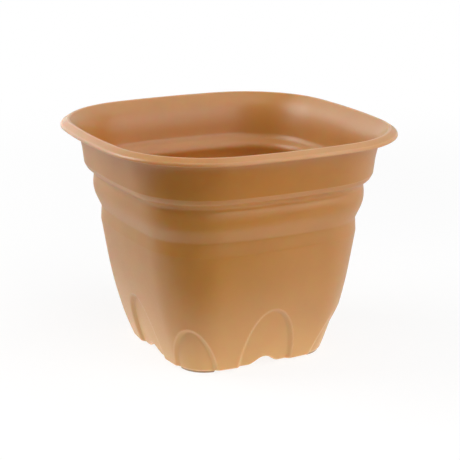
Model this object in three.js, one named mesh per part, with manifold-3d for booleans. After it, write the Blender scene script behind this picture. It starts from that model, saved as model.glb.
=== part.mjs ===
// Square garden planter moulded in terracotta-coloured plastic: a bellied body on arched feet,
// a bulged band, a stepped collar and a rolled lip, with a push-in plug in each of its drain holes.
// Millimetres, +Z up. The origin is at the middle of the base, on the ground that the planter stands on.

import * as THREE from 'three';
import { mergeVertices } from 'three/addons/utils/BufferGeometryUtils.js';
import Module from 'manifold-3d';

const wasm = await Module();
wasm.setup();

// Overall sizes. Widths are measured across the flats, at the middle of opposite sides.
const LIP_WIDTH = 320;
const HEIGHT = 242.2;
const BASE_WIDTH = 175.5;
const WALL = 2.2;

// Plan of the base. Every outline higher up is parallel to it, so its arcs share the same centres.
const BASE_CORNER_RADIUS = 33;
const BASE_SIDE_RADIUS = 535;

// Lip and collar, from the hem of the lip inwards and down. A reach is sideways and a drop is downwards.
const HEM_DROP = 7.8;
const EDGE_DROP = 3.8;
const EDGE_RADIUS = 3.5;
const LIP_REACH = 5.8;
const CREST_RADIUS = 4;
const FLARE_REACH = 9.7;
const FLARE_DROP = 10.5;
const FLARE_RADIUS = 33;
const THROAT_REACH = 4.1;
const THROAT_DROP = 15.5;
const THROAT_RADIUS = 85;
const COLLAR_REACH = 2.2;
const COLLAR_DROP = 21.5;
const COLLAR_RADIUS = 11.7;

// Step under the collar, bulged band, neck groove and the ridge at the top of the body.
const STEP_REACH = 10.6;
const STEP_DROP = 11.3;
const STEP_RADIUS = 1.5;
const SHOULDER_REACH = 3;
const SHOULDER_DROP = 12.2;
const BAND_RADIUS = 34;
const BAND_REACH = 9.7;
const BAND_DROP = 21.4;
const GROOVE_RADIUS = 7;
const GROOVE_REACH = 0.85;
const GROOVE_DROP = 14;
const RIDGE_RADIUS = 6;

// Body: where the lines of its lower and upper wall cross, and the long arc that joins them.
const BELLY_WIDTH = 212;
const BELLY_RISE = 48.2;
const BELLY_RADIUS = 480;

// Foot: a skirt below the floor, lifted off the ground by a pad under each corner.
const SKIRT_LIFT = 2.2;
const SKIRT_WALL = 4;
const SKIRT_EDGE_RADIUS = 3.5;
const PAD_INSET = 1.2;
const PAD_BREADTH = 9;

// Arched recesses in the foot, one on each side and one round each corner. Their walls slope by the bevel.
const ARCH_DEPTH = 3.2;
const ARCH_BEVEL = 3.4;
const ARCH_SPRING = 6;
const SIDE_ARCH_WIDTH = 61;
const SIDE_ARCH_HEIGHT = 68;
const CORNER_ARCH_WIDTH = 46;
const CORNER_ARCH_HEIGHT = 53;

// Drainage: a notch in the skirt at the middle of each side, and a plugged hole in the floor behind it.
const NOTCH_RADIUS = 15;
const NOTCH_RISE = 7.7;
const FLOOR_OVER_NOTCH = 0.8;
const FLOOR_THICKNESS = 2.4;
const FLOOR_EDGE_RADIUS = 4;
const HOLE_RADIUS = 7;
const HOLE_INSET = 28;
const PLUG_CLEARANCE = 0.3;
const PLUG_CAP_RADIUS = 12;
const PLUG_CAP_EDGE = 1.4;
const PLUG_CROWN = 2.8;
const PLUG_STEM_LENGTH = 7;
const PLUG_STEM_TAPER = 0.6;
const PLUG_STEM_WALL = 1.8;

// Fineness of the facets: how far one may cut inside an arc, and the steps round the plan and the plugs.
const FACET = 0.3;
const SIDE_STEPS = 4;
const CORNER_STEPS = 7;
const ARCH_STEPS = 5;
const ROUND_STEPS = 16;

// Room that cutters reach past the solid they cut, and the most of a straight that a rounding may use up.
const MARGIN = 10;
const ROUNDING_SHARE = 0.95;

// Corners of a skin that is cut off level, up to the ridge: on the axis, at the base, belly and ridge.
const CORNERS_TO_RIDGE = 4;

// Heights and half widths that follow from the sizes above.
const baseHalf = BASE_WIDTH / 2;
const lipHalf = LIP_WIDTH / 2;
const hemHeight = HEIGHT - HEM_DROP;
const floorUnderside = SKIRT_LIFT + NOTCH_RISE + FLOOR_OVER_NOTCH;
const floorTop = floorUnderside + FLOOR_THICKNESS;
const sideCentre = BASE_SIDE_RADIUS - baseHalf;
const arcDistance = BASE_SIDE_RADIUS - BASE_CORNER_RADIUS;
const cornerCentre = (Math.sqrt(2 * arcDistance ** 2 - sideCentre ** 2) - sideCentre) / 2;
const sideTurn = Math.atan2(cornerCentre, cornerCentre + sideCentre);
const columnsPerQuarter = SIDE_STEPS + CORNER_STEPS;
const columns = 4 * columnsPerQuarter;

// Corners of the wall's outer skin before rounding, from the hem of the lip down to the base.
function wallCorners() {
  const corners = [{ half: lipHalf - WALL, height: hemHeight }];
  const add = (reach, drop, radius) => {
    const last = corners[corners.length - 1];
    corners.push({ half: last.half + reach, height: last.height - drop, radius });
  };
  add(0, WALL + EDGE_DROP - HEM_DROP, EDGE_RADIUS - WALL);
  add(-LIP_REACH, -EDGE_DROP, CREST_RADIUS - WALL);
  add(-FLARE_REACH, FLARE_DROP, FLARE_RADIUS);
  add(-THROAT_REACH, THROAT_DROP, THROAT_RADIUS);
  add(-COLLAR_REACH, COLLAR_DROP, COLLAR_RADIUS);
  add(-STEP_REACH, STEP_DROP, STEP_RADIUS);
  add(SHOULDER_REACH, SHOULDER_DROP, BAND_RADIUS);
  add(-BAND_REACH, BAND_DROP, GROOVE_RADIUS);
  add(GROOVE_REACH, GROOVE_DROP, RIDGE_RADIUS);
  corners.push({ half: BELLY_WIDTH / 2, height: SKIRT_LIFT + BELLY_RISE, radius: BELLY_RADIUS });
  corners.push({ half: baseHalf, height: SKIRT_LIFT });
  return corners.reverse();
}

// Unit direction from one corner to the next, in the plane of half width and height.
function direction(from, to) {
  return new THREE.Vector2(to.half - from.half, to.height - from.height).normalize();
}

// Angle that a path turns through from one direction to the next, positive towards the core of the pot.
function turnBetween(before, after) {
  return Math.atan2(before.cross(after), before.dot(after));
}

// The same skin moved towards the core by a distance. Every straight moves sideways by it,
// and the roundings keep their centres, so those round the core shrink and the others grow.
function movedSkin(corners, distance) {
  const straights = corners.slice(1).map((corner, i) => direction(corners[i], corner));
  return corners.map((corner, i) => {
    const before = straights[Math.max(i - 1, 0)];
    const after = straights[Math.min(i, straights.length - 1)];
    const turn = turnBetween(before, after);
    const mitre = distance / Math.cos(turn / 2);
    const along = before.clone().add(after).normalize();
    return {
      half: corner.half - along.y * mitre,
      height: corner.height + along.x * mitre,
      radius: corner.radius && Math.max(corner.radius - Math.sign(turn) * distance, 0),
    };
  });
}

// The skin cut off level at a height, with its first corner moved along the lowest straight to it.
function cutLevel(corners, height, radius) {
  const [first, second] = corners;
  const slope = (second.half - first.half) / (second.height - first.height);
  const half = first.half + slope * (height - first.height);
  return [{ half: 0, height }, { half, height, radius }, ...corners.slice(1)];
}

// Points along a skin with its corners rounded. A rounding is limited by the straights beside it.
function roundedPath(corners) {
  const points = [];
  let used = 0;
  corners.forEach((corner, i) => {
    const here = new THREE.Vector2(corner.half, corner.height);
    const previous = corners[Math.max(i - 1, 0)];
    const next = corners[Math.min(i + 1, corners.length - 1)];
    const before = direction(previous, corner);
    const turn = turnBetween(before, direction(corner, next));
    if (!corner.radius || !turn) {
      points.push(here);
      used = 0;
      return;
    }
    const bend = Math.tan(Math.abs(turn) / 2);
    const roomBefore = Math.hypot(corner.half - previous.half, corner.height - previous.height) - used;
    const roomAfter = Math.hypot(next.half - corner.half, next.height - corner.height);
    const reach = Math.min(corner.radius * bend, ROUNDING_SHARE * roomBefore, ROUNDING_SHARE * roomAfter);
    const radius = reach / bend;
    const steps = Math.ceil(Math.abs(turn) / (2 * Math.acos(1 - Math.min(FACET / radius, 1))));
    const start = here.clone().addScaledVector(before, -reach);
    const toCentre = new THREE.Vector2(-before.y, before.x).multiplyScalar(Math.sign(turn) * radius);
    const centre = start.clone().add(toCentre);
    for (let step = 0; step <= steps; step += 1) {
      points.push(start.clone().rotateAround(centre, (turn * step) / steps));
    }
    used = reach;
  });
  return points;
}

// The wall of the body alone, from below the ground to the ridge.
function lowerWall(distance) {
  const skin = cutLevel(movedSkin(wallCorners(), distance), -MARGIN, 0);
  return roundedPath(skin.slice(1, CORNERS_TO_RIDGE));
}

// Point of the plan outline of a given half width, in one of the columns that run up the wall.
// Seen along the column's normal, it lies on a side's long arc or on a corner's short arc.
function outlinePoint(half, column) {
  const quarter = Math.floor(column / columnsPerQuarter);
  const step = column % columnsPerQuarter;
  const sideRadius = half + sideCentre;
  const cornerRadius = sideRadius - arcDistance;
  const point = new THREE.Vector2();
  if (step < SIDE_STEPS) {
    const angle = sideTurn * ((2 * step) / SIDE_STEPS - 1);
    point.set(sideRadius * Math.cos(angle) - sideCentre, sideRadius * Math.sin(angle));
  } else {
    const angle = sideTurn + (Math.PI / 2 - 2 * sideTurn) * ((step - SIDE_STEPS) / CORNER_STEPS);
    point.set(cornerCentre + cornerRadius * Math.cos(angle), cornerCentre + cornerRadius * Math.sin(angle));
  }
  return point.rotateAround(new THREE.Vector2(), (quarter * Math.PI) / 2);
}

// A profile revolved about the axis, with each column then moved out from the circle to the square outline.
function squaredLathe(path) {
  const geometry = new THREE.LatheGeometry(path, columns);
  const position = geometry.getAttribute('position');
  for (let i = 0; i < position.count; i += 1) {
    const { x: half, y: height } = path[i % path.length];
    const column = Math.floor(i / path.length) % columns;
    const point = half > 0 ? outlinePoint(half, column) : new THREE.Vector2();
    position.setXYZ(i, point.x, point.y, height);
  }
  return geometry;
}

// A closed solid for cutting and joining, from a geometry whose shared points are first merged.
function solid(geometry) {
  geometry.deleteAttribute('normal');
  geometry.deleteAttribute('uv');
  const merged = mergeVertices(geometry);
  const index = merged.index.array;
  const triangles = [];
  for (let i = 0; i < index.length; i += 3) {
    const [a, b, c] = index.slice(i, i + 3);
    if (a !== b && b !== c && c !== a) {
      triangles.push(a, b, c);
    }
  }
  const vertProperties = Float32Array.from(merged.getAttribute('position').array);
  const triVerts = Uint32Array.from(triangles);
  return new wasm.Manifold(new wasm.Mesh({ numProp: 3, vertProperties, triVerts }));
}

// A solid back as a geometry that a mesh can show.
function geometryOf(body) {
  const { vertProperties, triVerts } = body.getMesh();
  const geometry = new THREE.BufferGeometry();
  geometry.setAttribute('position', new THREE.BufferAttribute(vertProperties, 3));
  geometry.setIndex(new THREE.BufferAttribute(triVerts, 1));
  geometry.computeVertexNormals();
  return geometry;
}

// A closed solid through rings of points that match one to one, from its front ring to its back one.
// The flat outline gives the order in which the points of the two end rings are joined to triangles.
function loftedSolid(rings, outline) {
  const count = outline.length;
  const backStart = (rings.length - 1) * count;
  const index = [];
  THREE.ShapeUtils.triangulateShape(outline, []).forEach(([a, b, c]) => {
    index.push(a, b, c, backStart + a, backStart + c, backStart + b);
  });
  for (let near = 0; near < backStart; near += count) {
    const far = near + count;
    for (let i = 0; i < count; i += 1) {
      const next = (i + 1) % count;
      index.push(near + i, far + i, far + next, near + i, far + next, near + next);
    }
  }
  const geometry = new THREE.BufferGeometry().setFromPoints(rings.flat());
  geometry.setIndex(index);
  return solid(geometry);
}

// The two kinds of arch, by the size of their outline on the outer skin.
const sideArch = { width: SIDE_ARCH_WIDTH, height: SIDE_ARCH_HEIGHT, onCorner: false };
const cornerArch = { width: CORNER_ARCH_WIDTH, height: CORNER_ARCH_HEIGHT, onCorner: true };

// Outline of an arch, grown all round: upright from below the ground to its spring, and an ellipse above.
function archOutline({ width, height }, growth) {
  const half = width / 2 + growth;
  const arch = new THREE.Shape();
  arch.moveTo(-half, -MARGIN);
  arch.lineTo(half, -MARGIN);
  arch.absellipse(0, ARCH_SPRING, half, height + growth - ARCH_SPRING, 0, Math.PI);
  return arch.getPoints(2 * ARCH_STEPS);
}

// Half width of a skin at a height, between the points of its path.
function halfAt(path, height) {
  const next = Math.max(path.findIndex((point) => point.y >= height), 1);
  const [low, high] = [path[next - 1], path[next]];
  return low.x + ((high.x - low.x) * (height - low.y)) / (high.y - low.y);
}

// How far out a plan outline lies at a distance to one side of an arch's middle. A side is seen square on.
// A corner is seen along its diagonal, and past its own arc the outline goes on along the sides' arcs.
function outlineReach(half, across, onCorner) {
  const sideRadius = half + sideCentre;
  if (!onCorner) {
    return Math.sqrt(sideRadius ** 2 - across ** 2) - sideCentre;
  }
  const cornerRadius = sideRadius - arcDistance;
  if (Math.abs(across) < cornerRadius * Math.sin(Math.PI / 4 - sideTurn)) {
    return Math.SQRT2 * cornerCentre + Math.sqrt(cornerRadius ** 2 - across ** 2);
  }
  const skew = sideCentre / Math.SQRT2;
  return Math.sqrt(sideRadius ** 2 - (Math.abs(across) + skew) ** 2) - skew;
}

// A cutter that sinks one arch into a skin. From well outside, it runs straight to as far off the skin as the
// arch is deep, then along the bevel down to the arch's back face, and then straight on to the core.
function archCutter(arch, angle, distance) {
  const turn = new THREE.Matrix4().makeRotationZ(angle);
  const spread = distance * Math.tan(Math.atan2(ARCH_DEPTH, ARCH_BEVEL) / 2);
  const growthAt = (depth) => spread - (ARCH_BEVEL * depth) / ARCH_DEPTH;
  const ringAt = (depth) => {
    const path = lowerWall(distance + depth);
    return archOutline(arch, growthAt(depth)).map(({ x: across, y: height }) => {
      const reach = outlineReach(halfAt(path, height), across, arch.onCorner);
      return new THREE.Vector3(across, -reach, height);
    });
  };
  const [front, back] = [ringAt(-ARCH_DEPTH), ringAt(ARCH_DEPTH)];
  const outside = front.map(({ x, z }) => new THREE.Vector3(x, -LIP_WIDTH, z));
  const core = back.map(({ x, z }) => new THREE.Vector3(x, -cornerCentre, z));
  const rings = [outside, front, back, core];
  rings.flat().forEach((point) => point.applyMatrix4(turn));
  return loftedSolid(rings, archOutline(arch, growthAt(-ARCH_DEPTH)));
}

// The arches on all four sides or all four corners of a skin.
function archRow(arch, distance) {
  const firstAngle = arch.onCorner ? Math.PI / 4 : 0;
  let row = archCutter(arch, firstAngle, distance);
  for (let quarter = 1; quarter < 4; quarter += 1) {
    row = row.add(archCutter(arch, firstAngle + (quarter * Math.PI) / 2, distance));
  }
  return row;
}

// A full solid with the arches sunk into its wall: inside them, the skin of the recessed solid shows.
function withArches(full, recessed, distance) {
  return full.subtract(archRow(sideArch, distance)).subtract(archRow(cornerArch, distance)).add(recessed);
}

// Closes a skin's path over the lip and back to the axis, outside everything that the path bounds.
function closedOver(path, margin) {
  const hem = path[path.length - 1];
  const outside = lipHalf + margin;
  const over = HEIGHT + margin;
  const around = [[outside, hem.y], [outside, over], [0, over]];
  return [...path, ...around.map(([half, height]) => new THREE.Vector2(half, height))];
}

// The body's part of a skin, from the axis past base and belly to the ridge, closed level to the axis.
// It carries the arches' back faces.
function bodyPath(corners) {
  const path = roundedPath(corners.slice(0, CORNERS_TO_RIDGE));
  return [...path, new THREE.Vector2(0, path[path.length - 1].y)];
}

// Everything inside a skin that stands at a height, with the arches sunk into it.
function filledSkin(distance, height, edgeRadius, margin) {
  const skin = cutLevel(movedSkin(wallCorners(), distance), height, edgeRadius);
  const sunk = cutLevel(movedSkin(wallCorners(), distance + ARCH_DEPTH), height, edgeRadius);
  const full = solid(squaredLathe(closedOver(roundedPath(skin), margin)));
  return withArches(full, solid(squaredLathe(bodyPath(sunk))), distance);
}

// The hollow under the floor, inside the skirt, with the arches standing into it.
function underfloor() {
  const hollow = (distance) => {
    const skin = movedSkin(wallCorners(), distance);
    const bottom = cutLevel(skin, -MARGIN, 0).slice(0, 2);
    const top = cutLevel(skin, floorUnderside, 0).slice(0, 2);
    return solid(squaredLathe(roundedPath([...bottom, ...top.reverse()])));
  };
  return withArches(hollow(SKIRT_WALL), hollow(SKIRT_WALL + ARCH_DEPTH), SKIRT_WALL);
}

// A round bar along Y, turned in plan by an angle, that cuts the drain notches of two opposite sides.
function notchCutter(angle) {
  const geometry = new THREE.CylinderGeometry(NOTCH_RADIUS, NOTCH_RADIUS, LIP_WIDTH, ROUND_STEPS);
  geometry.rotateZ(angle);
  geometry.translate(0, 0, SKIRT_LIFT + NOTCH_RISE - NOTCH_RADIUS);
  return solid(geometry);
}

// Middle of each drain hole on the floor, one towards each side.
const holeReach = baseHalf - HOLE_INSET;
const drains = [
  { side: 'front', x: 0, y: -holeReach },
  { side: 'right', x: holeReach, y: 0 },
  { side: 'back', x: 0, y: holeReach },
  { side: 'left', x: -holeReach, y: 0 },
];

function drainCutter({ x, y }) {
  const geometry = new THREE.CylinderGeometry(HOLE_RADIUS, HOLE_RADIUS, floorTop + MARGIN, ROUND_STEPS);
  geometry.rotateX(Math.PI / 2);
  geometry.translate(x, y, floorTop / 2);
  return solid(geometry);
}

// A bar along a diagonal, as wide as a pad, that reaches past two opposite corners.
function padBar(angle) {
  const width = CORNER_ARCH_WIDTH - 2 * PAD_INSET;
  const geometry = new THREE.BoxGeometry(width, 2 * LIP_WIDTH, HEIGHT);
  geometry.rotateZ(angle);
  return solid(geometry);
}

// A crescent pad under each corner, set in from the arch's back face, that the planter stands on.
// Above the skirt's edge it follows the slope of the skirt, up into the floor that carries it.
function pads() {
  const top = floorUnderside + FLOOR_THICKNESS / 2;
  const revolved = (profile) => {
    return solid(squaredLathe(profile.map(([half, height]) => new THREE.Vector2(half, height))));
  };
  const wall = lowerWall(ARCH_DEPTH + PAD_INSET);
  const outer = halfAt(wall, SKIRT_LIFT);
  const inner = outer - PAD_BREADTH;
  const slab = revolved([[0, 0], [outer, 0], [outer, SKIRT_LIFT], [halfAt(wall, top), top], [0, top]]);
  const core = revolved([[0, -MARGIN], [inner, -MARGIN], [inner, top + MARGIN], [0, top + MARGIN]]);
  return slab.subtract(core).intersect(padBar(Math.PI / 4).add(padBar(-Math.PI / 4)));
}

// The moulded pot: what lies between its outer and its inner skin, with its floor, skirt, pads and drains.
function potShell() {
  let shell = filledSkin(0, SKIRT_LIFT, SKIRT_EDGE_RADIUS, MARGIN / 2);
  shell = shell.subtract(filledSkin(WALL, floorTop, FLOOR_EDGE_RADIUS, MARGIN));
  shell = shell.subtract(underfloor());
  shell = shell.add(pads());
  shell = shell.subtract(notchCutter(0)).subtract(notchCutter(Math.PI / 2));
  drains.forEach((drain) => {
    shell = shell.subtract(drainCutter(drain));
  });
  return geometryOf(shell);
}

// A drain plug: a low domed cap that sits on the floor, and a hollow tapered stem that fills the hole.
function plugGeometry() {
  const stem = HOLE_RADIUS - PLUG_CLEARANCE;
  const tip = stem - PLUG_STEM_TAPER;
  const bore = tip - PLUG_STEM_WALL;
  const rise = PLUG_CROWN - PLUG_CAP_EDGE;
  const profile = [
    new THREE.Vector2(0, 0),
    new THREE.Vector2(bore, 0),
    new THREE.Vector2(bore, -PLUG_STEM_LENGTH),
    new THREE.Vector2(tip, -PLUG_STEM_LENGTH),
    new THREE.Vector2(stem, -FLOOR_THICKNESS),
    new THREE.Vector2(stem, 0),
    new THREE.Vector2(PLUG_CAP_RADIUS, 0),
    new THREE.Vector2(PLUG_CAP_RADIUS, PLUG_CAP_EDGE),
  ];
  const domeSteps = 4;
  for (let step = 1; step <= domeSteps; step += 1) {
    const share = 1 - step / domeSteps;
    profile.push(new THREE.Vector2(PLUG_CAP_RADIUS * share, PLUG_CAP_EDGE + rise * (1 - share ** 2)));
  }
  const geometry = new THREE.LatheGeometry(profile, ROUND_STEPS);
  geometry.rotateX(Math.PI / 2);
  return geometryOf(solid(geometry));
}

const planter = new THREE.Group();

const shellMaterial = new THREE.MeshStandardMaterial({ color: 0xb98650, roughness: 0.55, metalness: 0 });
const shellMesh = new THREE.Mesh(potShell(), shellMaterial);
shellMesh.name = 'pot_shell';
planter.add(shellMesh);

drains.forEach(({ side, x, y }) => {
  const plugMaterial = new THREE.MeshStandardMaterial({ color: 0xa9733f, roughness: 0.6, metalness: 0 });
  const plug = new THREE.Mesh(plugGeometry(), plugMaterial);
  plug.name = `drain_plug_${side}`;
  plug.position.set(x, y, floorTop + PLUG_CLEARANCE);
  planter.add(plug);
});

export default planter;
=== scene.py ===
# %% [markdown]
# # A square planter in terracotta-coloured plastic
# The planter is one moulded wall on four pads, with a push-in plug in each of its drain holes. The
# imported solid model is the fixed frame: every piece made below lies in its space, in metres, with +Z up
# and the origin on the ground.

# %% Load the solid model
import math

import bmesh
import bpy
import numpy as np
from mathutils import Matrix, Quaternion, Vector


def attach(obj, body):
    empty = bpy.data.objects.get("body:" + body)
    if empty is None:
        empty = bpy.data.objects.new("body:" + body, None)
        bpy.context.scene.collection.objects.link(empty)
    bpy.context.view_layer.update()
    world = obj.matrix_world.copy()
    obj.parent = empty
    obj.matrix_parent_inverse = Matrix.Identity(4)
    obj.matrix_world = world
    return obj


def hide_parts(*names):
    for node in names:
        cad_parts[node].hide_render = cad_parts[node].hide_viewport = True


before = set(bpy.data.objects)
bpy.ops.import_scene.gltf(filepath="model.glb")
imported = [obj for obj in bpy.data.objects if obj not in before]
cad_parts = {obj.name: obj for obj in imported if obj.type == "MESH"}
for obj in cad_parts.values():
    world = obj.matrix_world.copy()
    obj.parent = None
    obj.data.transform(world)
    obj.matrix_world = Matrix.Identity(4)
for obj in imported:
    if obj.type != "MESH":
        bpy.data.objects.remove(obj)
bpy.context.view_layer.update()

# %% [markdown]
# ## Camera
# The photograph was taken from a little above, with the near corner left of the middle. A pinhole
# camera that was matched to the lip, the step and the foot gives the angles, the distance and the lens.
# The camera looks at a point on the picture's centre line, so it needs no shift.

# %% Place the camera
MM = 0.001
CAMERA_AZIMUTH = math.radians(-27.2)
CAMERA_ELEVATION = math.radians(16.18)
CAMERA_DISTANCE = 1535.07 * MM
CAMERA_ASIDE = 3.73 * MM
CAMERA_ROLL = math.radians(0.15)
CAMERA_AIM_HEIGHT = 123.8 * MM
CAMERA_LENS = 112.95
SENSOR_WIDTH = 36.0


def direction_from(azimuth, elevation):
    """Unit vector towards an azimuth and elevation, where azimuth 0 is -Y and a quarter turn is +X."""
    flat = math.cos(elevation)
    return Vector((math.sin(azimuth) * flat, -math.cos(azimuth) * flat, math.sin(elevation)))


towards_camera = direction_from(CAMERA_AZIMUTH, CAMERA_ELEVATION)
camera_aim = Vector((math.cos(CAMERA_AZIMUTH), math.sin(CAMERA_AZIMUTH), 0.0)) * CAMERA_ASIDE
camera_aim.z = CAMERA_AIM_HEIGHT
camera_data = bpy.data.cameras.new("photo_camera")
camera_data.lens = CAMERA_LENS
camera_data.sensor_width = SENSOR_WIDTH
camera = bpy.data.objects.new("photo_camera", camera_data)
camera.location = camera_aim + towards_camera * CAMERA_DISTANCE
camera.rotation_mode = "QUATERNION"
camera.rotation_quaternion = (-towards_camera).to_track_quat("-Z", "Y") @ Quaternion((0, 0, 1), CAMERA_ROLL)
bpy.context.scene.collection.objects.link(camera)
bpy.context.scene.camera = camera
print("camera at", [round(v, 3) for v in camera.location])

# %% [markdown]
# ## The wall's section
# The real wall is one even sheet of plastic. Its outer skin is drawn as a few corners, each with the
# radius that rounds it, from the skirt's edge up the belly, over ridge, groove, band, step and collar,
# along the flare and over the lip to its hem. It could be traced as a spline, but corners and radii
# keep the flats flat and the roundings round. The inner skin is the same line a wall's thickness
# further in, with a rounder hollow over the step. All sizes are in millimetres, and a size is half the
# width across opposite sides.

# %% Corners of the two skins
WALL = 2.2
HEM_HEIGHT = 234.4

outer_corners = np.array([
    (87.75, 2.2, 0.0),       # skirt edge
    (106.0, 50.4, 480.0),    # belly
    (119.55, 133.6, 6.0),    # ridge
    (118.7, 147.6, 7.0),     # groove
    (128.4, 169.0, 34.0),    # band
    (125.7, 184.6, 7.0),     # step
    (133.3, 190.6, 6.0),     # underside of the collar
    (136.1, 195.8, 3.0),     # collar
    (138.2, 214.0, 85.0),    # throat
    (142.3, 229.5, 33.0),    # flare
    (151.8, 239.9, 0.8),     # crest
    (157.8, 236.2, 1.3),     # edge of the lip
    (157.8, HEM_HEIGHT, 0.0),
])


def turns_of(corners):
    """Unit directions into and out of each corner, and the signed angle from the one to the other."""
    steps = np.diff(corners[:, :2], axis=0)
    steps /= np.linalg.norm(steps, axis=1)[:, None]
    before = np.vstack([steps[:1], steps])
    after = np.vstack([steps, steps[-1:]])
    cross = before[:, 0] * after[:, 1] - before[:, 1] * after[:, 0]
    return before, after, np.arctan2(cross, (before * after).sum(axis=1))


def moved_corners(corners, distance):
    """The skin a distance further in: straights move sideways by it, and roundings keep their centres."""
    before, after, turn = turns_of(corners)
    along = before + after
    along /= np.linalg.norm(along, axis=1)[:, None]
    mitre = distance / np.cos(turn / 2)
    radius = np.where(corners[:, 2] > 0, corners[:, 2] - np.sign(turn) * distance, 0.0)
    half = corners[:, 0] - along[:, 1] * mitre
    height = corners[:, 1] + along[:, 0] * mitre
    return np.column_stack([half, height, radius])


LEDGE_CORNERS = slice(6, 8)
LEDGE_RADIUS = 9.0
inner_corners = moved_corners(outer_corners, WALL)
inner_corners[LEDGE_CORNERS, 2] = LEDGE_RADIUS
lip_half, lip_top = inner_corners[:, :2].max(axis=0)
print("lip reaches", round(lip_half, 2), "mm aside and", round(lip_top, 2), "mm up")

# %% [markdown]
# ## Rounding a section
# Each corner becomes an arc that touches both straights, cut shorter where the straights leave less
# room. Points lie close together on the arcs and further apart on the flats, so the highlights on the
# roundings stay smooth.

# %% Points along a rounded section
ARC_STEP = math.radians(9.0)
ROUNDING_SHARE = 0.95


def corner_arc(corner, before, after, turn, reach, longest_step):
    """Points of the arc that touches both straights at a corner, each a reach away from it."""
    start = corner - before * reach
    if reach == 0:
        return start[None]
    radius = reach / math.tan(abs(turn) / 2)
    steps = math.ceil(abs(turn) * max(1 / ARC_STEP, radius / longest_step))
    sweep = turn * np.arange(steps + 1) / steps
    spoke = np.array([before[1], -before[0]]) * math.copysign(radius, turn)
    turned_x = spoke[0] * np.cos(sweep) - spoke[1] * np.sin(sweep)
    turned_y = spoke[0] * np.sin(sweep) + spoke[1] * np.cos(sweep)
    return start - spoke + np.column_stack([turned_x, turned_y])


def rounded(corners, longest_step):
    """Points along a run of corners: an arc at each corner, and straights in steps of limited length."""
    before, after, turn = turns_of(corners)
    room = np.linalg.norm(np.diff(corners[:, :2], axis=0), axis=1)
    wanted = corners[:, 2] * np.tan(np.abs(turn) / 2)
    path = corners[:1, :2]
    used = 0.0
    for i in range(1, len(corners)):
        reach = 0.0
        if i < len(corners) - 1:
            free = ROUNDING_SHARE * min(room[i - 1] - used, room[i])
            reach = min(wanted[i], free)
        used = reach
        arc = corner_arc(corners[i, :2], before[i], after[i], turn[i], reach, longest_step)
        gap = arc[0] - path[-1]
        steps = max(math.ceil(np.linalg.norm(gap) / longest_step), 1)
        share = np.arange(1, steps)[:, None] / steps
        path = np.vstack([path, path[-1] + gap * share, arc])
    return path


# %% [markdown]
# ## The plan
# Seen from above, the planter is a square with slightly bowed sides and round corners, and all its
# outlines are parallel. So each column of the wall has a fixed centre and a fixed direction, and a
# point lies on it at the half width plus a fixed length from that centre. Carrying a section round such
# columns is a lathe for squares.

# %% Columns round the plan
SIDE_RADIUS = 535.0
CORNER_RADIUS = 33.0
BASE_HALF = outer_corners[0, 0]
SIDE_COLUMNS = 78
CORNER_COLUMNS = 48
FINE_PER_COARSE = 3

side_centre = SIDE_RADIUS - BASE_HALF
arc_distance = SIDE_RADIUS - CORNER_RADIUS
corner_centre = (math.sqrt(2 * arc_distance ** 2 - side_centre ** 2) - side_centre) / 2
side_turn = math.atan2(corner_centre, corner_centre + side_centre)


def quarter_columns():
    """Centre, extra length and angle of one side's columns, from one corner's middle to the next."""
    half_corner = CORNER_COLUMNS // 2
    low = np.linspace(-math.pi / 4, -side_turn, half_corner, endpoint=False)
    middle = np.linspace(-side_turn, side_turn, SIDE_COLUMNS, endpoint=False)
    high = np.linspace(side_turn, math.pi / 4, half_corner, endpoint=False)
    angle = np.concatenate([low, middle, high])
    on_side = np.abs(np.arange(len(angle)) - half_corner - SIDE_COLUMNS / 2 + 0.5) < SIDE_COLUMNS / 2
    centre_x = np.where(on_side, -side_centre, corner_centre)
    centre_y = np.where(on_side, 0.0, np.copysign(corner_centre, angle))
    extra = np.where(on_side, side_centre, side_centre - arc_distance)
    return centre_x, centre_y, extra, angle


def plan_columns():
    """The columns of all four sides, each side a quarter turn on from the one before."""
    centre_x, centre_y, extra, angle = quarter_columns()
    quarter = np.arange(4)[:, None] * math.pi / 2
    x = centre_x * np.cos(quarter) - centre_y * np.sin(quarter)
    y = centre_x * np.sin(quarter) + centre_y * np.cos(quarter)
    turned = (angle + quarter).ravel()
    centre = np.column_stack([x.ravel(), y.ravel()])
    return centre, np.tile(extra, 4), np.column_stack([np.cos(turned), np.sin(turned)])


column_centre, column_extra, column_direction = plan_columns()
columns = len(column_extra)
print(columns, "columns round the plan")


def on_columns(half, every=1):
    """Plan points: each column's centre plus its direction times the half width and the extra."""
    length = half + column_extra[::every]
    return column_centre[::every] + length[..., None] * column_direction[::every]


# %% [markdown]
# ## Arches in the foot
# The foot's arches are pressed into the wall by one depth, with sloping edges, and they show on the
# inside as bulges. They could be cut with booleans, but then the edges would need bevels. Here a
# distance to the arch's outline, worked out for every point at once, says how deep the point is
# pressed, and the edges come out round.

# %% Depth of the arches
ARCH_DEPTH = 3.2
ARCH_BEVEL = 3.4
ARCH_SPRING = 6.0
SIDE_ARCH = (30.5, 68.0)
CORNER_ARCH = (23.0, 53.0)
BEVEL_ROUND = 0.25
TINY = 1e-9

lower_slope = (outer_corners[1, 0] - outer_corners[0, 0]) / (outer_corners[1, 1] - outer_corners[0, 1])
level_per_thickness = math.hypot(1.0, lower_slope)
press = ARCH_DEPTH * level_per_thickness


def soft_ramp(share):
    """Ramp from 0 to 1 whose ends are rounded by short parabolas, so that a bevel's edges catch light."""
    t = np.clip(share, -BEVEL_ROUND, 1 + BEVEL_ROUND)
    foot = (t + BEVEL_ROUND) ** 2 / (4 * BEVEL_ROUND)
    head = 1 - (1 + BEVEL_ROUND - t) ** 2 / (4 * BEVEL_ROUND)
    return np.where(t < BEVEL_ROUND, foot, np.where(t > 1 - BEVEL_ROUND, head, t))


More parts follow.
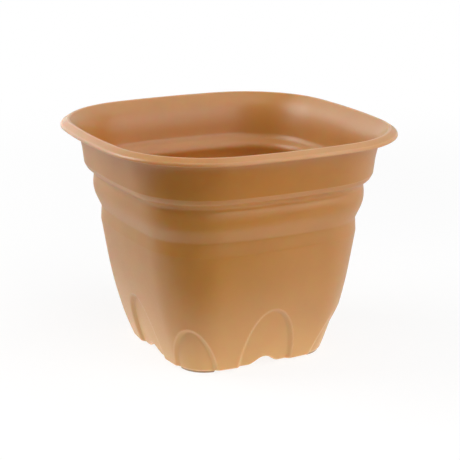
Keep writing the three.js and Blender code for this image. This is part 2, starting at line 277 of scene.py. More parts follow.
def inside_arch(across, height, size, growth):
    """How far a point lies inside an arch's outline: uprights up to the spring, half an ellipse above."""
    wide = size[0] + growth
    tall = size[1] + growth - ARCH_SPRING
    rise = np.maximum(height - ARCH_SPRING, 0)
    reach = np.sqrt((across / wide) ** 2 + (rise / tall) ** 2) + TINY
    slope = np.sqrt((across / wide ** 2) ** 2 + (rise / tall ** 2) ** 2) / reach + TINY
    return (1 - reach) / slope


def arch_share(plan, height, distance):
    """Share of the arches' depth at plan points of a skin that lies a distance inside the outer one."""
    growth = distance * math.tan(math.atan2(ARCH_DEPTH, ARCH_BEVEL) / 2)
    x = np.abs(plan[..., 0])
    y = np.abs(plan[..., 1])
    on_side = inside_arch(np.minimum(x, y), height, SIDE_ARCH, growth)
    on_corner = inside_arch(np.abs(x - y) / math.sqrt(2), height, CORNER_ARCH, growth)
    return soft_ramp(np.maximum(on_side, on_corner) / ARCH_BEVEL)


def pressed_rows(half, height, distance):
    """Rows of points on the fine columns at these half widths and heights, pressed in where an arch is."""
    share = arch_share(on_columns(half), height, distance)
    return np.dstack([on_columns(half - press * share), height])


# %% [markdown]
# ## The wall's rows
# The whole wall is one closed surface: from the floor's edge up the inside, over the lip, down the
# outside, round the skirt and in along the underside of the floor. Only the foot needs close columns,
# so its rows have three columns where the rest has one, and six-sided faces will join the two kinds of
# row.

# %% Rows above the arches
COARSE_STEP = 5.0
FINE_STEP = 1.35
INSIDE_STEP = 1.8
FINE_TOP = 76.0
HEM_RADIUS = 1.0

inner_hem = (inner_corners[-1, 0], HEM_HEIGHT, HEM_RADIUS)
outer_hem = (outer_corners[-1, 0], HEM_HEIGHT, HEM_RADIUS)
wall_run = np.vstack([inner_corners[:-1], [inner_hem, outer_hem], outer_corners[-2::-1]])


def cut_run(path):
    """A path over the lip in three runs: inside the foot, above the arches, and outside the foot."""
    top = path[:, 1].argmax()
    low = path[:, 1] <= FINE_TOP
    first = np.arange(len(path)) < top
    return path[low & first], path[~low], path[low & ~first]


upper_path = cut_run(rounded(wall_run, COARSE_STEP))[1]
inside_skin = cut_run(rounded(wall_run, INSIDE_STEP))[0]
outside_skin = cut_run(rounded(wall_run, FINE_STEP))[2]
upper_plan = on_columns(upper_path[:, :1], FINE_PER_COARSE)
upper_height = np.broadcast_to(upper_path[:, 1:], upper_plan.shape[:2])
upper_rows = np.dstack([upper_plan, upper_height])
print(len(upper_rows), "rows above the arches, on", upper_rows.shape[1], "columns")

# %% [markdown]
# ## The inside of the foot
# The floor meets the wall in a small hollow rounding. The floor's first ring has few columns, and the
# rows from the rounding up to the arches' tops have many.

# %% Rows inside the foot
FLOOR_TOP = 13.1
FLOOR_EDGE_RADIUS = 4.0
FLOOR_RING = 76.0
FLOOR_FIRST_ROW = 80.5


def as_corners(points):
    """Points as corners without a rounding."""
    return np.column_stack([points, np.zeros(len(points))])


floor_edge = np.interp(FLOOR_TOP, inside_skin[:, 1], inside_skin[:, 0])
above_edge = inside_skin[inside_skin[:, 1] > FLOOR_TOP + FLOOR_EDGE_RADIUS]
floor_corners = [(FLOOR_FIRST_ROW, FLOOR_TOP, 0.0), (floor_edge, FLOOR_TOP, FLOOR_EDGE_RADIUS)]
inside_path = rounded(np.vstack([floor_corners, as_corners(above_edge)]), INSIDE_STEP)
inside_half = np.repeat(inside_path[:, :1], columns, axis=1)
inside_height = np.repeat(inside_path[:, 1:], columns, axis=1)
inside_rows = pressed_rows(inside_half, inside_height, WALL)


def flat_ring(half, height):
    """One row on the coarse columns, at one half width and height."""
    plan = on_columns(np.array([[half]]), FINE_PER_COARSE)
    return np.dstack([plan, np.full(plan.shape[:2], height)])


floor_ring = flat_ring(FLOOR_RING, FLOOR_TOP)
print(len(inside_rows), "rows inside the foot")

# %% [markdown]
# ## The skirt, its drain notches and its pads
# Below the floor the wall goes on as a skirt with a rounded edge. A notch in the middle of each side
# lifts that edge and lets water out, and a pad under each corner carries the planter. Both are worked
# into the rows: the notch raises the rows of its columns, and a pad's columns follow a second section
# that reaches the ground.

# %% Sections of the skirt and of a pad
SKIRT_BOTTOM = outer_corners[0, 1]
SKIRT_WALL = 4.0
SKIRT_EDGE_RADIUS = 3.5
FLOOR_UNDERSIDE = 10.7
UNDERSIDE_RING = 70.0
UNDERSIDE_LAST_ROW = 74.5
PAD_INSET = 1.2
PAD_BREADTH = 9.0
EDGE_STEPS = 8
SKIRT_COUNTS = (3, 3, 5, 3)

lean = math.atan(lower_slope)
edge_turn = math.pi / 2 - lean
edge_reach = SKIRT_EDGE_RADIUS * math.tan(edge_turn / 2)
edge_centre = np.array([BASE_HALF - edge_reach, SKIRT_BOTTOM + SKIRT_EDGE_RADIUS])


def edge_arc(sweep):
    """Points of the skirt's rounded edge, from the wall down through an angle."""
    angle = -lean - sweep * np.arange(EDGE_STEPS + 1) / EDGE_STEPS
    return edge_centre + SKIRT_EDGE_RADIUS * np.column_stack([np.cos(angle), np.sin(angle)])


def on_slope(inset, height):
    """Point at a height and at an inset from the lower wall's outer face, measured square to it."""
    return BASE_HALF - inset * level_per_thickness + lower_slope * (height - SKIRT_BOTTOM), height


def stepped(points, counts):
    """Points along straights, each cut into its own number of equal steps, without the first point."""
    points = np.array(points)
    straights = []
    for start, end, count in zip(points, points[1:], counts):
        steps = np.arange(1, count + 1)[:, None]
        straights.append(start + (end - start) * steps / count)
    return np.vstack(straights)


def skirt_section(arc, corners):
    """A section from the wall to the floor's underside: a rounded edge, then straights to the corners."""
    return np.vstack([arc, stepped([arc[-1], *corners], SKIRT_COUNTS)])


inner_edge = on_slope(SKIRT_WALL, SKIRT_BOTTOM)
skirt_arc = edge_arc(edge_turn)
middle_of_edge = (np.array(inner_edge) + skirt_arc[-1]) / 2
skirt_path = skirt_section(skirt_arc, [
    middle_of_edge,
    inner_edge,
    on_slope(SKIRT_WALL, FLOOR_UNDERSIDE),
    (UNDERSIDE_LAST_ROW, FLOOR_UNDERSIDE),
])
pad_arc = edge_arc(math.acos(1 - PAD_INSET / SKIRT_EDGE_RADIUS))
pad_path = skirt_section(pad_arc, [
    on_slope(PAD_INSET, 0.0),
    on_slope(PAD_INSET + PAD_BREADTH, 0.0),
    on_slope(PAD_INSET + PAD_BREADTH, FLOOR_UNDERSIDE),
    (UNDERSIDE_LAST_ROW, FLOOR_UNDERSIDE),
])
print(len(skirt_path), "points along the skirt's section")

# %% [markdown]
# The notch lifts the edge by one height in its middle, and its flanks run out smoothly to both sides.
# Its rise fades out up the wall, and on the skirt's inner face it ends at the floor. The pad's section
# takes over within one or two columns, so the pad ends as squarely as a moulded one.

# %% Rows outside the foot
NOTCH_RISE = 7.7
NOTCH_FLANK = (1.5, 17.5)
NOTCH_FADE_TOP = 30.0
PAD_HALF_LENGTH = 21.8
PAD_END = 0.6

edge_plan = on_columns(np.full(columns, BASE_HALF))
from_side_middle = np.abs(edge_plan).min(axis=1)
from_corner_middle = np.abs(np.abs(edge_plan[:, 0]) - np.abs(edge_plan[:, 1])) / math.sqrt(2)
down_flank = np.clip((from_side_middle - NOTCH_FLANK[0]) / (NOTCH_FLANK[1] - NOTCH_FLANK[0]), 0, 1)
notch_rise = NOTCH_RISE * (1 - down_flank ** 2 * (3 - 2 * down_flank))
pad_share = np.clip((PAD_HALF_LENGTH + PAD_END - from_corner_middle) / (2 * PAD_END), 0, 1)

wall_end = skirt_arc[0, 1]
outside_path = outside_skin[outside_skin[:, 1] > wall_end + FINE_STEP / 2]
outside_rise = (NOTCH_FADE_TOP - outside_path[:, 1]) / (NOTCH_FADE_TOP - wall_end)
under_rise = (FLOOR_UNDERSIDE - skirt_path[:, 1]) / (FLOOR_UNDERSIDE - SKIRT_BOTTOM)
is_arc = np.arange(len(skirt_path)) <= EDGE_STEPS
rise_share = np.clip(np.concatenate([outside_rise, np.where(is_arc, 1.0, under_rise)]), 0, 1)

foot_plain = np.vstack([outside_path, skirt_path])
foot_pad = np.vstack([outside_path, pad_path])
foot_section = foot_plain[:, None] + (foot_pad - foot_plain)[:, None] * pad_share[:, None]
foot_lift = rise_share[:, None] * notch_rise
foot_half = foot_section[..., 0] + lower_slope * foot_lift
foot_height = foot_section[..., 1] + foot_lift
outside_rows = pressed_rows(foot_half[:len(outside_path)], foot_height[:len(outside_path)], 0.0)
skirt_rows = pressed_rows(foot_half[len(outside_path):], foot_height[len(outside_path):], 0.0)
underside_ring = flat_ring(UNDERSIDE_RING, FLOOR_UNDERSIDE)
print(len(outside_rows), "rows outside the foot and", len(skirt_rows), "round the skirt")

# %% [markdown]
# ## The floor and its drain holes
# Each quarter of the floor, from the middle to two corners, holds one drain hole. A quarter's rim is
# joined to its hole by rings that shrink from the one to the other, first on top, then down through the
# hole and back out to the rim on the underside. That gives an even mesh with no boolean cut.

# %% Rings of the floor
HOLE_RADIUS = 7.0
HOLE_DISTANCE = 59.75
HOLE_EASE = 0.5
EASE_STEPS = 4
SPREAD_STEPS = 6
DIAGONAL_STEPS = 12
quarter_count = floor_ring.shape[1] // 4


def quarter_rim(ring):
    """Closed rim of the quarter on the +X side: its part of a ring, then both diagonals."""
    part = ring[0, :quarter_count + 1, :2]
    share = np.arange(1, DIAGONAL_STEPS + 1)[:, None] / DIAGONAL_STEPS
    inwards = part[-1] * (1 - share)
    outwards = part[0] * share[:-1]
    return np.vstack([part, inwards, outwards])


def hole_rings():
    """Rings from the top rim to the hole, through it, and out to the lower rim."""
    top_rim = quarter_rim(floor_ring)
    low_rim = quarter_rim(underside_ring)
    hole_centre = np.array([HOLE_DISTANCE, 0.0])
    spoke = top_rim - hole_centre
    spoke /= np.linalg.norm(spoke, axis=1)[:, None]
    share = np.arange(SPREAD_STEPS)[:, None, None] / SPREAD_STEPS
    mouth = hole_centre + spoke * (HOLE_RADIUS + HOLE_EASE)
    turn = np.arange(EASE_STEPS + 1) / EASE_STEPS * math.pi / 2
    ease_radius = HOLE_RADIUS + HOLE_EASE * (1 - np.sin(turn))
    ease_drop = HOLE_EASE * (1 - np.cos(turn))
    bore = hole_centre + spoke * np.concatenate([ease_radius, ease_radius[::-1]])[:, None, None]
    top_rings = top_rim + (mouth - top_rim) * share
    low_rings = low_rim + (mouth - low_rim) * share
    plan = np.vstack([top_rings, bore, low_rings[::-1]])
    top = np.full(SPREAD_STEPS, FLOOR_TOP)
    low = np.full(SPREAD_STEPS, FLOOR_UNDERSIDE)
    height = np.concatenate([top, FLOOR_TOP - ease_drop, (FLOOR_UNDERSIDE + ease_drop)[::-1], low])
    return np.dstack([plan, np.repeat(height[:, None], plan.shape[1], axis=1)])


first_quarter = hole_rings()
floor_quarters = []
for cosine, sine in ((1, 0), (0, 1), (-1, 0), (0, -1)):
    quarter_turn = np.array([(cosine, sine, 0), (-sine, cosine, 0), (0, 0, 1)])
    floor_quarters.append(first_quarter @ quarter_turn)
print(len(floor_quarters), "quarters of", first_quarter.shape[0], "rings")

# %% [markdown]
# ## One closed shell
# The rows are joined by four-sided faces, and where the number of columns changes, by six-sided ones.
# Points that lie on each other, along the diagonals and the floor's rims, are merged, which closes the
# shell. Edges that turn sharply are marked, so that shading stays smooth on the roundings and crisp on
# the edges.

# %% Join the rows
SHARP_ANGLE = math.radians(40.0)
MERGE_DISTANCE = 1e-6
MILLILITRES = 1e6


def quads_between(low, high):
    """Four-sided faces between two closed rows of point numbers."""
    return np.column_stack([low, high, np.roll(high, -1), np.roll(low, -1)]).tolist()


def joined_rows(numbers):
    """Faces between the rows of a block of point numbers, closed round the columns."""
    return [face for low, high in zip(numbers, numbers[1:]) for face in quads_between(low, high)]


def widening(coarse, fine):
    """Six-sided faces from a row of few columns to a row of many."""
    trio = fine.reshape(-1, FINE_PER_COARSE)
    return np.column_stack([coarse, trio, np.roll(trio[:, 0], -1), np.roll(coarse, -1)]).tolist()


def narrowing(fine, coarse):
    """Six-sided faces from a row of many columns to a row of few."""
    return [face[::-1] for face in widening(coarse, fine)]


def numbered(blocks):
    """Running point numbers for blocks of rows, one array per block."""
    counts = [block.shape[0] * block.shape[1] for block in blocks]
    starts = np.cumsum([0] + counts[:-1])
    numbers = []
    for start, count, block in zip(starts, counts, blocks):
        numbers.append(start + np.arange(count).reshape(block.shape[:2]))
    return numbers


def add_piece(name, blocks, faces):
    """A mesh object from blocks of points in millimetres, with doubles merged and sharp edges marked."""
    points = np.vstack([block.reshape(-1, 3) for block in blocks]) * MM
    mesh = bpy.data.meshes.new(name)
    mesh.from_pydata(points.tolist(), [], faces)
    shape = bmesh.new()
    shape.from_mesh(mesh)
    bmesh.ops.remove_doubles(shape, verts=shape.verts, dist=MERGE_DISTANCE)
    open_edges = sum(not edge.is_manifold for edge in shape.edges)
    volume = shape.calc_volume(signed=True) * MILLILITRES
    shape.to_mesh(mesh)
    shape.free()
    mesh.shade_smooth()
    mesh.set_sharp_from_angle(angle=SHARP_ANGLE)
    piece = bpy.data.objects.new(name, mesh)
    bpy.context.scene.collection.objects.link(piece)
    triangles = sum(len(face.vertices) - 2 for face in mesh.polygons)
    print(name, "has", triangles, "triangles,", open_edges, "open edges and", round(volume, 1), "ml")
    return piece


shell_blocks = [floor_ring, inside_rows, upper_rows, outside_rows, skirt_rows, underside_ring]
shell_blocks += floor_quarters
ring_no, inside_no, upper_no, outside_no, skirt_no, low_ring_no, *quarter_no = numbered(shell_blocks)
shell_faces = widening(ring_no[0], inside_no[0]) + joined_rows(inside_no)
shell_faces += narrowing(inside_no[-1], upper_no[0]) + joined_rows(upper_no)
shell_faces += widening(upper_no[-1], outside_no[0]) + joined_rows(np.vstack([outside_no, skirt_no]))
shell_faces += narrowing(skirt_no[-1], low_ring_no[0])
for rings in quarter_no:
    shell_faces += [face[::-1] for face in joined_rows(rings)]
shell = add_piece("planter_shell", shell_blocks, shell_faces)
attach(shell, "pot")
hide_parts("pot_shell")

# %% [markdown]
# ## Drain plugs
# A plug is a low domed cap on a hollow, slightly tapered stem. It is round, so its section is turned
# about its own axis. Each plug rides on its own body and lifts out of its hole.

# %% Turn the plugs
PLUG_COLUMNS = 64
PLUG_STEP = 1.4
CAP_RADIUS = 12.0
CAP_BOTTOM = 13.4
CAP_EDGE = 14.8
CAP_TOP = 16.2
CAP_EDGE_RADIUS = 0.8
CAP_RIM_RADIUS = 0.4
STEM_RADIUS = 6.7
STEM_TAPER = 0.6
STEM_BOTTOM = 6.4
STEM_WALL = 1.8
STEM_TIP_RADIUS = 0.7
STEM_MOUTH_RADIUS = 0.5
STEM_ROOT_RADIUS = 1.2
DOME_STEPS = 10

dome_radius = np.linspace(0, CAP_RADIUS, DOME_STEPS, endpoint=False)
dome = np.column_stack([dome_radius, CAP_TOP - (CAP_TOP - CAP_EDGE) * (dome_radius / CAP_RADIUS) ** 2])
plug_corners = np.vstack([as_corners(dome), [
    (CAP_RADIUS, CAP_EDGE, CAP_EDGE_RADIUS),
    (CAP_RADIUS, CAP_BOTTOM, CAP_RIM_RADIUS),
    (STEM_RADIUS, CAP_BOTTOM, 0.0),
    (STEM_RADIUS - STEM_TAPER, STEM_BOTTOM, STEM_TIP_RADIUS),
    (STEM_RADIUS - STEM_TAPER - STEM_WALL, STEM_BOTTOM, STEM_MOUTH_RADIUS),
    (STEM_RADIUS - STEM_WALL, CAP_BOTTOM, STEM_ROOT_RADIUS),
    (0.0, CAP_BOTTOM, 0.0),
]])
plug_path = rounded(plug_corners, PLUG_STEP)
plug_turn = np.arange(PLUG_COLUMNS) * 2 * math.pi / PLUG_COLUMNS


def turned_plug(name, x, y):
    """The plug's section turned about an upright axis through a plan point."""
    plan_x = x + plug_path[:, :1] * np.cos(plug_turn)
    plan_y = y + plug_path[:, :1] * np.sin(plug_turn)
    rows = np.dstack([plan_x, plan_y, np.broadcast_to(plug_path[:, 1:], plan_x.shape)])
    numbers = numbered([rows])[0]
    return add_piece(name, [rows], joined_rows(numbers))


plug_places = {"front": (0, -1), "right": (1, 0), "back": (0, 1), "left": (-1, 0)}
plugs = []
for side, (x, y) in plug_places.items():
    plug = turned_plug("plug_" + side, x * HOLE_DISTANCE, y * HOLE_DISTANCE)
    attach(plug, "plug_" + side)
    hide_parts("drain_plug_" + side)
    plugs.append(plug)

# %% [markdown]
# ## Sharp edges with a painted highlight
# Where the plastic turns sharply outwards, on the lip, the hem and the arches' rims, handling rubs it
# smoother, and the colour there is made paler as a painted highlight, with a little real rubbing in it.
# How sharply a piece turns is measured at every point from the points beside it, and is kept on the
# mesh for the material. Painting it by hand would do too, but it wouldn't follow a change of the shape.

# %% Measure the edges
WEAR_AND_HIGHLIGHT_FROM = 50.0
WEAR_AND_HIGHLIGHT_FULL = 200.0


def mesh_values(items, name, width, kind=np.float32):
    """One property of all points or edges of a mesh, as an array with a row for each."""
    values = np.empty(len(items) * width, dtype=kind)
    items.foreach_get(name, values)
    return values.reshape(-1, width)


def add_wear_and_highlight(piece):
    """Keeps how sharply the surface turns outwards at each point: twice the depth of a neighbour below the
    point, along the normal, divided by the neighbour's distance squared, as a mean over all neighbours."""
    mesh = piece.data
    point = mesh_values(mesh.vertices, "co", 3)
    normal = mesh_values(mesh.vertex_normals, "vector", 3)
    ends = mesh_values(mesh.edges, "vertices", 2, np.int32)
    start = np.concatenate([ends[:, 0], ends[:, 1]])
    finish = np.concatenate([ends[:, 1], ends[:, 0]])
    edge = point[start] - point[finish]
    turn = 2 * (edge * normal[start]).sum(axis=1) / (edge ** 2).sum(axis=1)
    mean_turn = np.bincount(start, weights=turn) / np.bincount(start)
    wear_and_highlight = np.clip((mean_turn - WEAR_AND_HIGHLIGHT_FROM) / (WEAR_AND_HIGHLIGHT_FULL - WEAR_AND_HIGHLIGHT_FROM), 0, 1)
    # The kept value drives a painted highlight and a smoother roughness on sharp edges.
    mesh.attributes.new("wear_and_highlight", "FLOAT", "POINT").data.foreach_set("value", wear_and_highlight.astype(np.float32))
    print(piece.name, "is worn at", round(100 * (wear_and_highlight > 0).mean(), 1), "percent of its points")


for piece in [shell, *plugs]:
    add_wear_and_highlight(piece)

# %% [markdown]
# ## Moulded plastic
# The plastic is dyed through in a pale terracotta colour and has a satin finish. The wall is thin
# enough to let some light through, mostly red, which warms the sides in shade. The dye isn't quite
# even, so a slow noise shifts the colour between two near shades. A fine noise gives the grain of the
# mould's surface, and the roughness follows it. Fine level lines, left in the mould by its turning,
# show in places on the collar, and the lowest two millimetres, where the pads stand, are darkened as
# painted shade. All patterns lie on Object coordinates, in metres, so they stay on the piece.

# %% Nodes for the materials


def add_math(nodes, links, operation, first, second):
    """One difference, product or maximum of two sockets."""
    node = nodes.new("ShaderNodeMath")
    node.operation = operation
    links.new(first, node.inputs[0])
    links.new(second, node.inputs[1])
    return node.outputs["Value"]


def add_range(nodes, links, value, before, after):
    """A value carried smoothly from one range to another."""
    spread = nodes.new("ShaderNodeMapRange")
    spread.interpolation_type = "SMOOTHSTEP"
    spread.inputs["From Min"].default_value = before[0]
    spread.inputs["From Max"].default_value = before[1]
    spread.inputs["To Min"].default_value = after[0]
    spread.inputs["To Max"].default_value = after[1]
    links.new(value, spread.inputs["Value"])
    return spread.outputs["Result"]


def from_picture(red, green, blue):
    """Linear colour from picture values of 0 to 255, by the sRGB formula."""
    value = np.array([red, green, blue]) / 255
    linear = np.where(value <= 0.04045, value / 12.92, ((value + 0.055) / 1.055) ** 2.4)
    return (*linear.tolist(), 1.0)


def add_noise(nodes, links, place, scale, detail):
    """A noise of about so many waves for each metre, with finer waves in it."""
    noise = nodes.new("ShaderNodeTexNoise")
    noise.inputs["Scale"].default_value = scale
    noise.inputs["Detail"].default_value = detail
    links.new(place.outputs["Object"], noise.inputs["Vector"])
    return noise.outputs["Fac"]


def add_ramp(nodes, links, factor, stops):
    """Colours spread over a noise's range."""
    ramp = nodes.new("ShaderNodeValToRGB")
    for element, (position, colour) in zip(ramp.color_ramp.elements, stops):
        element.position = position
        element.color = colour
    links.new(factor, ramp.inputs["Fac"])
    return ramp.outputs["Color"]


def add_tint(nodes, links, factor, colour, other):
    """A colour from a socket, carried towards a fixed other one by a factor."""
    tint = nodes.new("ShaderNodeMix")
    tint.data_type = "RGBA"
    tint.inputs["B"].default_value = other
    links.new(factor, tint.inputs["Factor"])
    links.new(colour, tint.inputs["A"])
    return tint.outputs["Result"]


def height_of(nodes, links, place):
    """Height above the ground, in metres."""
    split = nodes.new("ShaderNodeSeparateXYZ")
    links.new(place.outputs["Object"], split.inputs["Vector"])
    return split.outputs["Z"]


def add_bump(nodes, links, height, depth, below=None):
    """A relief of a depth in metres, on top of another one where there is one."""
    bump = nodes.new("ShaderNodeBump")
    bump.inputs["Distance"].default_value = depth
    links.new(height, bump.inputs["Height"])
    if below:
        links.new(below, bump.inputs["Normal"])
    return bump.outputs["Normal"]


print("nodes for noise, ranges, ramps and relief")

# %% [markdown]
# A material is built from those nodes. The colour comes from the slow noise, is paler on sharp edges
# as a painted highlight with a little real rubbing in it, and is darkened on the lowest two millimetres
# as painted shade where the pads meet the ground. The roughness comes from the grain, and is less on
# the sharp edges.

# %% Plastic materials
PLASTIC_IOR = 1.7
SCATTER_RADIUS = (1.0, 0.3, 0.12)
SCATTER_SCALE = 0.005
CLOUD_WAVES = 22.0
CLOUD_DETAIL = 3
CLOUD_RANGE = (0.35, 0.65)
GRAIN_WAVES = 700.0
GRAIN_DETAIL = 2
GRAIN_DEPTH = 0.00005
# Sharp edges are made paler: a painted highlight, with a little real rubbing in it.
WEAR_AND_HIGHLIGHT_PALENESS = 0.5
WEAR_POLISH = 0.08
# Painted shade: the lowest two millimetres, where the pads meet the ground, are darkened towards this
# colour.
PAINTED_SHADE_EDGE = (0.0012, 0.0021)
PAINTED_SHADE_DEPTH = 0.75
PAINTED_SHADE = from_picture(112, 92, 70)
LINE_WAVES = 150.0
LINE_DEPTH = 0.00002
LINE_PATCH_WAVES = 16.0
LINE_PATCH_DETAIL = 1
LINE_PATCH_RANGE = (0.45, 0.6)
LINE_BOTTOM = (0.196, 0.2)
LINE_TOP = (0.222, 0.230)


def mould_lines(nodes, links, place):
    """Height of fine level lines: a wave along Z, kept to the collar and to patches of a slow noise."""
    wave = nodes.new("ShaderNodeTexWave")
    wave.bands_direction = "Z"
    wave.inputs["Scale"].default_value = LINE_WAVES
    links.new(place.outputs["Object"], wave.inputs["Vector"])
    height = height_of(nodes, links, place)
    over = add_range(nodes, links, height, LINE_BOTTOM, (0, 1))
    under = add_range(nodes, links, height, LINE_TOP, (1, 0))
    slow = add_noise(nodes, links, place, LINE_PATCH_WAVES, LINE_PATCH_DETAIL)
    patch = add_range(nodes, links, slow, LINE_PATCH_RANGE, (0, 1))
    collar = add_math(nodes, links, "MULTIPLY", over, under)
    strength = add_math(nodes, links, "MULTIPLY", collar, patch)
    return add_math(nodes, links, "MULTIPLY", wave.outputs["Fac"], strength)


def moulded_plastic(name, dark, light, pale, roughness):
    """Satin plastic that lets some light through: cloudy colour, fine grain, smoother edges with a painted
    highlight, painted foot shade.
    """
    material = bpy.data.materials.new(name)
    material.use_nodes = True
    nodes = material.node_tree.nodes
    links = material.node_tree.links
    shader = nodes["Principled BSDF"]
    shader.inputs["IOR"].default_value = PLASTIC_IOR
    shader.inputs["Subsurface Weight"].default_value = 1.0
    shader.inputs["Subsurface Radius"].default_value = SCATTER_RADIUS
    shader.inputs["Subsurface Scale"].default_value = SCATTER_SCALE
    place = nodes.new("ShaderNodeTexCoord")
    worn_and_highlit = nodes.new("ShaderNodeAttribute")
    worn_and_highlit.attribute_name = "wear_and_highlight"
    cloud = add_noise(nodes, links, place, CLOUD_WAVES, CLOUD_DETAIL)
    dye = add_ramp(nodes, links, cloud, zip(CLOUD_RANGE, (dark, light)))
    # Paler on sharp edges: a painted highlight, with a little real rubbing in it.
    rubbed_and_highlit = add_range(nodes, links, worn_and_highlit.outputs["Fac"], (0, 1), (0, WEAR_AND_HIGHLIGHT_PALENESS))
    # Darker on the lowest two millimetres: painted shade where the pads meet the ground.
    shaded_foot = add_range(nodes, links, height_of(nodes, links, place), PAINTED_SHADE_EDGE, (PAINTED_SHADE_DEPTH, 0))
    colour = add_tint(nodes, links, rubbed_and_highlit, dye, pale)
    links.new(add_tint(nodes, links, shaded_foot, colour, PAINTED_SHADE), shader.inputs["Base Color"])
    grain = add_noise(nodes, links, place, GRAIN_WAVES, GRAIN_DETAIL)
    satin = add_range(nodes, links, grain, (0, 1), roughness)
    polish = add_range(nodes, links, worn_and_highlit.outputs["Fac"], (0, 1), (0, WEAR_POLISH))
    links.new(add_math(nodes, links, "SUBTRACT", satin, polish), shader.inputs["Roughness"])
    relief = add_bump(nodes, links, grain, GRAIN_DEPTH)
    relief = add_bump(nodes, links, mould_lines(nodes, links, place), LINE_DEPTH, relief)
    links.new(relief, shader.inputs["Normal"])
    return material


terracotta = moulded_plastic(
    "terracotta_plastic",
    dark=from_picture(195, 139, 65),
    light=from_picture(199, 143, 68),
    # The pale colour is the painted highlight on sharp edges.
    pale=from_picture(214, 172, 122),
    roughness=(0.34, 0.48),
)
plug_plastic = moulded_plastic(
    "plug_plastic",
    dark=from_picture(166, 111, 61),
    light=from_picture(174, 119, 68),
    # The plug's pale colour is its painted highlight on sharp edges.
    pale=from_picture(196, 150, 104),
    roughness=(0.42, 0.62),
)
shell.data.materials.append(terracotta)
for plug in plugs:
    plug.data.materials.append(plug_plastic)
print("two plastics on", 1 + len(plugs), "pieces")

# %% [markdown]
# ## Floor and light
# The photograph was taken on a white sweep: a white ground that runs up into a white backdrop, with
# soft lamps at both sides and a dark room behind the camera. The floor is white to the camera by a
# plain emission, so the lamps can stay low, and it still takes the planter's shadow. In reflections it
# is brightest near the planter, white behind it and dark towards the camera. Close to the skirt it also
# gives a cool light back, as the brightly lit ground in the photograph does.

# %% Pale floor
FLOOR_HALF_SIZE = 6.0
FLOOR_LEVEL = -0.0004
FLOOR_GLOW = 0.8
GLOW_COLOUR = (0.8, 1.1, 1.4, 1.0)
GLOW_EDGE = (0.065, 0.125)
PAINT_NEAR = 0.85
PAINT_FAR = 0.2
PAINT_EDGE = (0.3, 0.6)
SEEN_NEAR = 0.84
SEEN_FAR = 1.0
SEEN_EDGE = (0.4, 1.4)
SHADOW_GAIN = 1.2
MIRROR_NEAR = 1.2
MIRROR_FAR = 0.93
MIRROR_REACH = (0.16, 0.36)
MIRROR_FRONT = 0.05
MIRROR_EDGE = (0.15, 0.28)

level_to_camera = direction_from(CAMERA_AZIMUTH, 0)


def lit_paint(nodes, links, brightness, glow, colour=(1, 1, 1, 1)):
    """Paint of a brightness that also glows in a colour, with the two strengths from sockets."""
    paint = nodes.new("ShaderNodeBsdfDiffuse")
    links.new(brightness, paint.inputs["Color"])
    light = nodes.new("ShaderNodeEmission")
    light.inputs["Color"].default_value = colour
    links.new(glow, light.inputs["Strength"])
    both = nodes.new("ShaderNodeAddShader")
    links.new(paint.outputs["BSDF"], both.inputs[0])
    links.new(light.outputs["Emission"], both.inputs[1])
    return both.outputs["Shader"]


def add_vector_math(nodes, links, operation, vector, other=(0, 0, 0)):
    """One step of reckoning with a vector and a fixed second one."""
    node = nodes.new("ShaderNodeVectorMath")
    node.operation = operation
    node.inputs[1].default_value = other
    links.new(vector, node.inputs[0])
    return node.outputs


def beside_skirt(nodes, links, place):
    """Distance of a floor point from the square that holds the centres of the skirt's round corners."""
    square = (BASE_HALF - CORNER_RADIUS) * MM
    aside = add_vector_math(nodes, links, "ABSOLUTE", place.outputs["Object"])["Vector"]
    over = add_vector_math(nodes, links, "SUBTRACT", aside, (square, square, 0))["Vector"]
    outside = add_vector_math(nodes, links, "MAXIMUM", over)["Vector"]
    return add_vector_math(nodes, links, "LENGTH", outside)["Value"]


def in_mirror(nodes, links, path):
    """1 for rays that come by a reflection or through clear material, and 0 for all others."""
    reflected = path.outputs["Is Glossy Ray"]
    through = path.outputs["Is Transmission Ray"]
    return add_math(nodes, links, "MAXIMUM", reflected, through)


def add_choice(nodes, links, factor, first, second):
    """The first shader, or the second where the factor is 1."""
    choice = nodes.new("ShaderNodeMixShader")
    links.new(factor, choice.inputs["Fac"])
    links.new(first, choice.inputs[1])
    links.new(second, choice.inputs[2])
    return choice.outputs["Shader"]


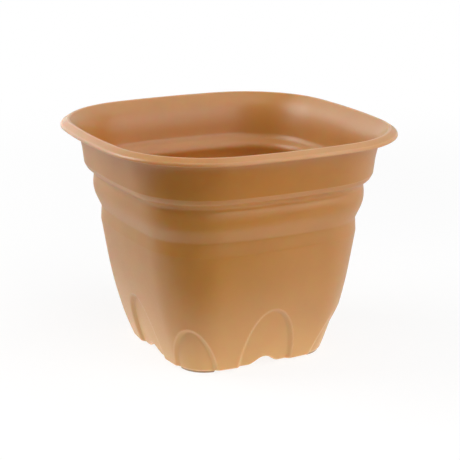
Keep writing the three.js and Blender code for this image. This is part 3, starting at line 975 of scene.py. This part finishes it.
def pale_floor():
    """White less a soft shadow for the camera, a sweep in reflections, and a lit sheet for the rest."""
    material = bpy.data.materials.new("pale_floor")
    material.use_nodes = True
    nodes = material.node_tree.nodes
    links = material.node_tree.links
    nodes.clear()
    output = nodes.new("ShaderNodeOutputMaterial")
    place = nodes.new("ShaderNodeTexCoord")
    spot = place.outputs["Object"]
    far = add_vector_math(nodes, links, "LENGTH", spot)["Value"]
    sheet = add_range(nodes, links, far, PAINT_EDGE, (PAINT_NEAR, PAINT_FAR))
    beside = beside_skirt(nodes, links, place)
    pool = add_range(nodes, links, beside, GLOW_EDGE, (FLOOR_GLOW, 0))
    shade = add_range(nodes, links, far, SEEN_EDGE, (SHADOW_GAIN * (1 - SEEN_NEAR), 0))
    white = add_range(nodes, links, far, SEEN_EDGE, (SEEN_NEAR, SEEN_FAR))
    forward = add_vector_math(nodes, links, "DOT_PRODUCT", spot, level_to_camera)["Value"]
    sweep = nodes.new("ShaderNodeEmission")
    towards = add_range(nodes, links, forward, MIRROR_EDGE, (1, MIRROR_FRONT))
    around = add_range(nodes, links, far, MIRROR_REACH, (MIRROR_NEAR, MIRROR_FAR))
    links.new(add_math(nodes, links, "MULTIPLY", towards, around), sweep.inputs["Strength"])
    path = nodes.new("ShaderNodeLightPath")
    mirrored = in_mirror(nodes, links, path)
    lighting = lit_paint(nodes, links, sheet, pool, GLOW_COLOUR)
    unseen = add_choice(nodes, links, mirrored, lighting, sweep.outputs["Emission"])
    seen = lit_paint(nodes, links, shade, white)
    surface = add_choice(nodes, links, path.outputs["Is Camera Ray"], unseen, seen)
    links.new(surface, output.inputs["Surface"])
    return material


floor_mesh = bpy.data.meshes.new("floor")
floor_corner = np.array([(-1, -1), (1, -1), (1, 1), (-1, 1)]) * FLOOR_HALF_SIZE
floor_points = np.column_stack([floor_corner, np.full(4, FLOOR_LEVEL)])
floor_mesh.from_pydata(floor_points.tolist(), [], [(0, 1, 2, 3)])
floor = bpy.data.objects.new("floor", floor_mesh)
floor.data.materials.append(pale_floor())
bpy.context.scene.collection.objects.link(floor)
print("floor of", 2 * FLOOR_HALF_SIZE, "m")

# %% [markdown]
# The world is white where the camera sees it. In reflections it is white behind the planter, where the
# backdrop stands, and dark on the camera's side, which keeps the colour of the near corner deep. It
# gives no other light, so the lamps and the floor shape the planter.

# %% White backdrop
BACKDROP_EDGE = (-0.1, 0.6)


def white_world():
    """White for camera rays, white on the backdrop's side in reflections, and dark for other rays."""
    world = bpy.data.worlds.new("white_sweep")
    world.use_nodes = True
    nodes = world.node_tree.nodes
    links = world.node_tree.links
    place = nodes.new("ShaderNodeTexCoord")
    direction = place.outputs["Generated"]
    away = add_vector_math(nodes, links, "DOT_PRODUCT", direction, -level_to_camera)["Value"]
    backdrop = add_range(nodes, links, away, BACKDROP_EDGE, (0, 1))
    path = nodes.new("ShaderNodeLightPath")
    shown = add_math(nodes, links, "MULTIPLY", in_mirror(nodes, links, path), backdrop)
    strength = add_math(nodes, links, "MAXIMUM", path.outputs["Is Camera Ray"], shown)
    background = nodes["Background"]
    background.inputs["Color"].default_value = (1, 1, 1, 1)
    links.new(add_range(nodes, links, strength, (0, 1), (0, 1)), background.inputs["Strength"])
    return world


bpy.context.scene.world = white_world()
bpy.context.scene.view_settings.view_transform = "Standard"
print("white backdrop behind the planter")

# %% [markdown]
# The lamps are larger than the planter, so that the shading runs softly round its corner. The strongest
# stands behind the planter's left side, and the next two stand to the right of the camera. Of those,
# the one in front is larger than the rest, so that its sheen spreads evenly over the inside of the far
# wall. Weaker ones fill in from the right, from behind, from the front and from above.

# %% Lamps
LAMP_DISTANCE = 1.8
LAMP_SIZE = 1.2
WIDE_LAMP_SIZE = 1.8


def soft_lamp(name, azimuth, elevation, power, size=LAMP_SIZE):
    """A square area lamp that faces the planter's middle from an azimuth and elevation in degrees."""
    lamp_data = bpy.data.lights.new(name, "AREA")
    lamp_data.size = size
    lamp_data.energy = power
    lamp = bpy.data.objects.new(name, lamp_data)
    towards = direction_from(math.radians(azimuth), math.radians(elevation))
    lamp.location = Vector((0, 0, CAMERA_AIM_HEIGHT)) + towards * LAMP_DISTANCE
    lamp.rotation_mode = "QUATERNION"
    lamp.rotation_quaternion = (-towards).to_track_quat("-Z", "Y")
    bpy.context.scene.collection.objects.link(lamp)


soft_lamp("left_lamp", azimuth=-120, elevation=31, power=20.4)
soft_lamp("front_right_lamp", azimuth=20, elevation=28, power=13.2, size=WIDE_LAMP_SIZE)
soft_lamp("low_right_lamp", azimuth=45, elevation=10, power=8.3)
soft_lamp("right_lamp", azimuth=75, elevation=60, power=5.7)
soft_lamp("back_lamp", azimuth=-170, elevation=10, power=5.7)
soft_lamp("low_front_lamp", azimuth=0, elevation=20, power=3.6)
soft_lamp("top_lamp", azimuth=-30, elevation=68, power=7.0)
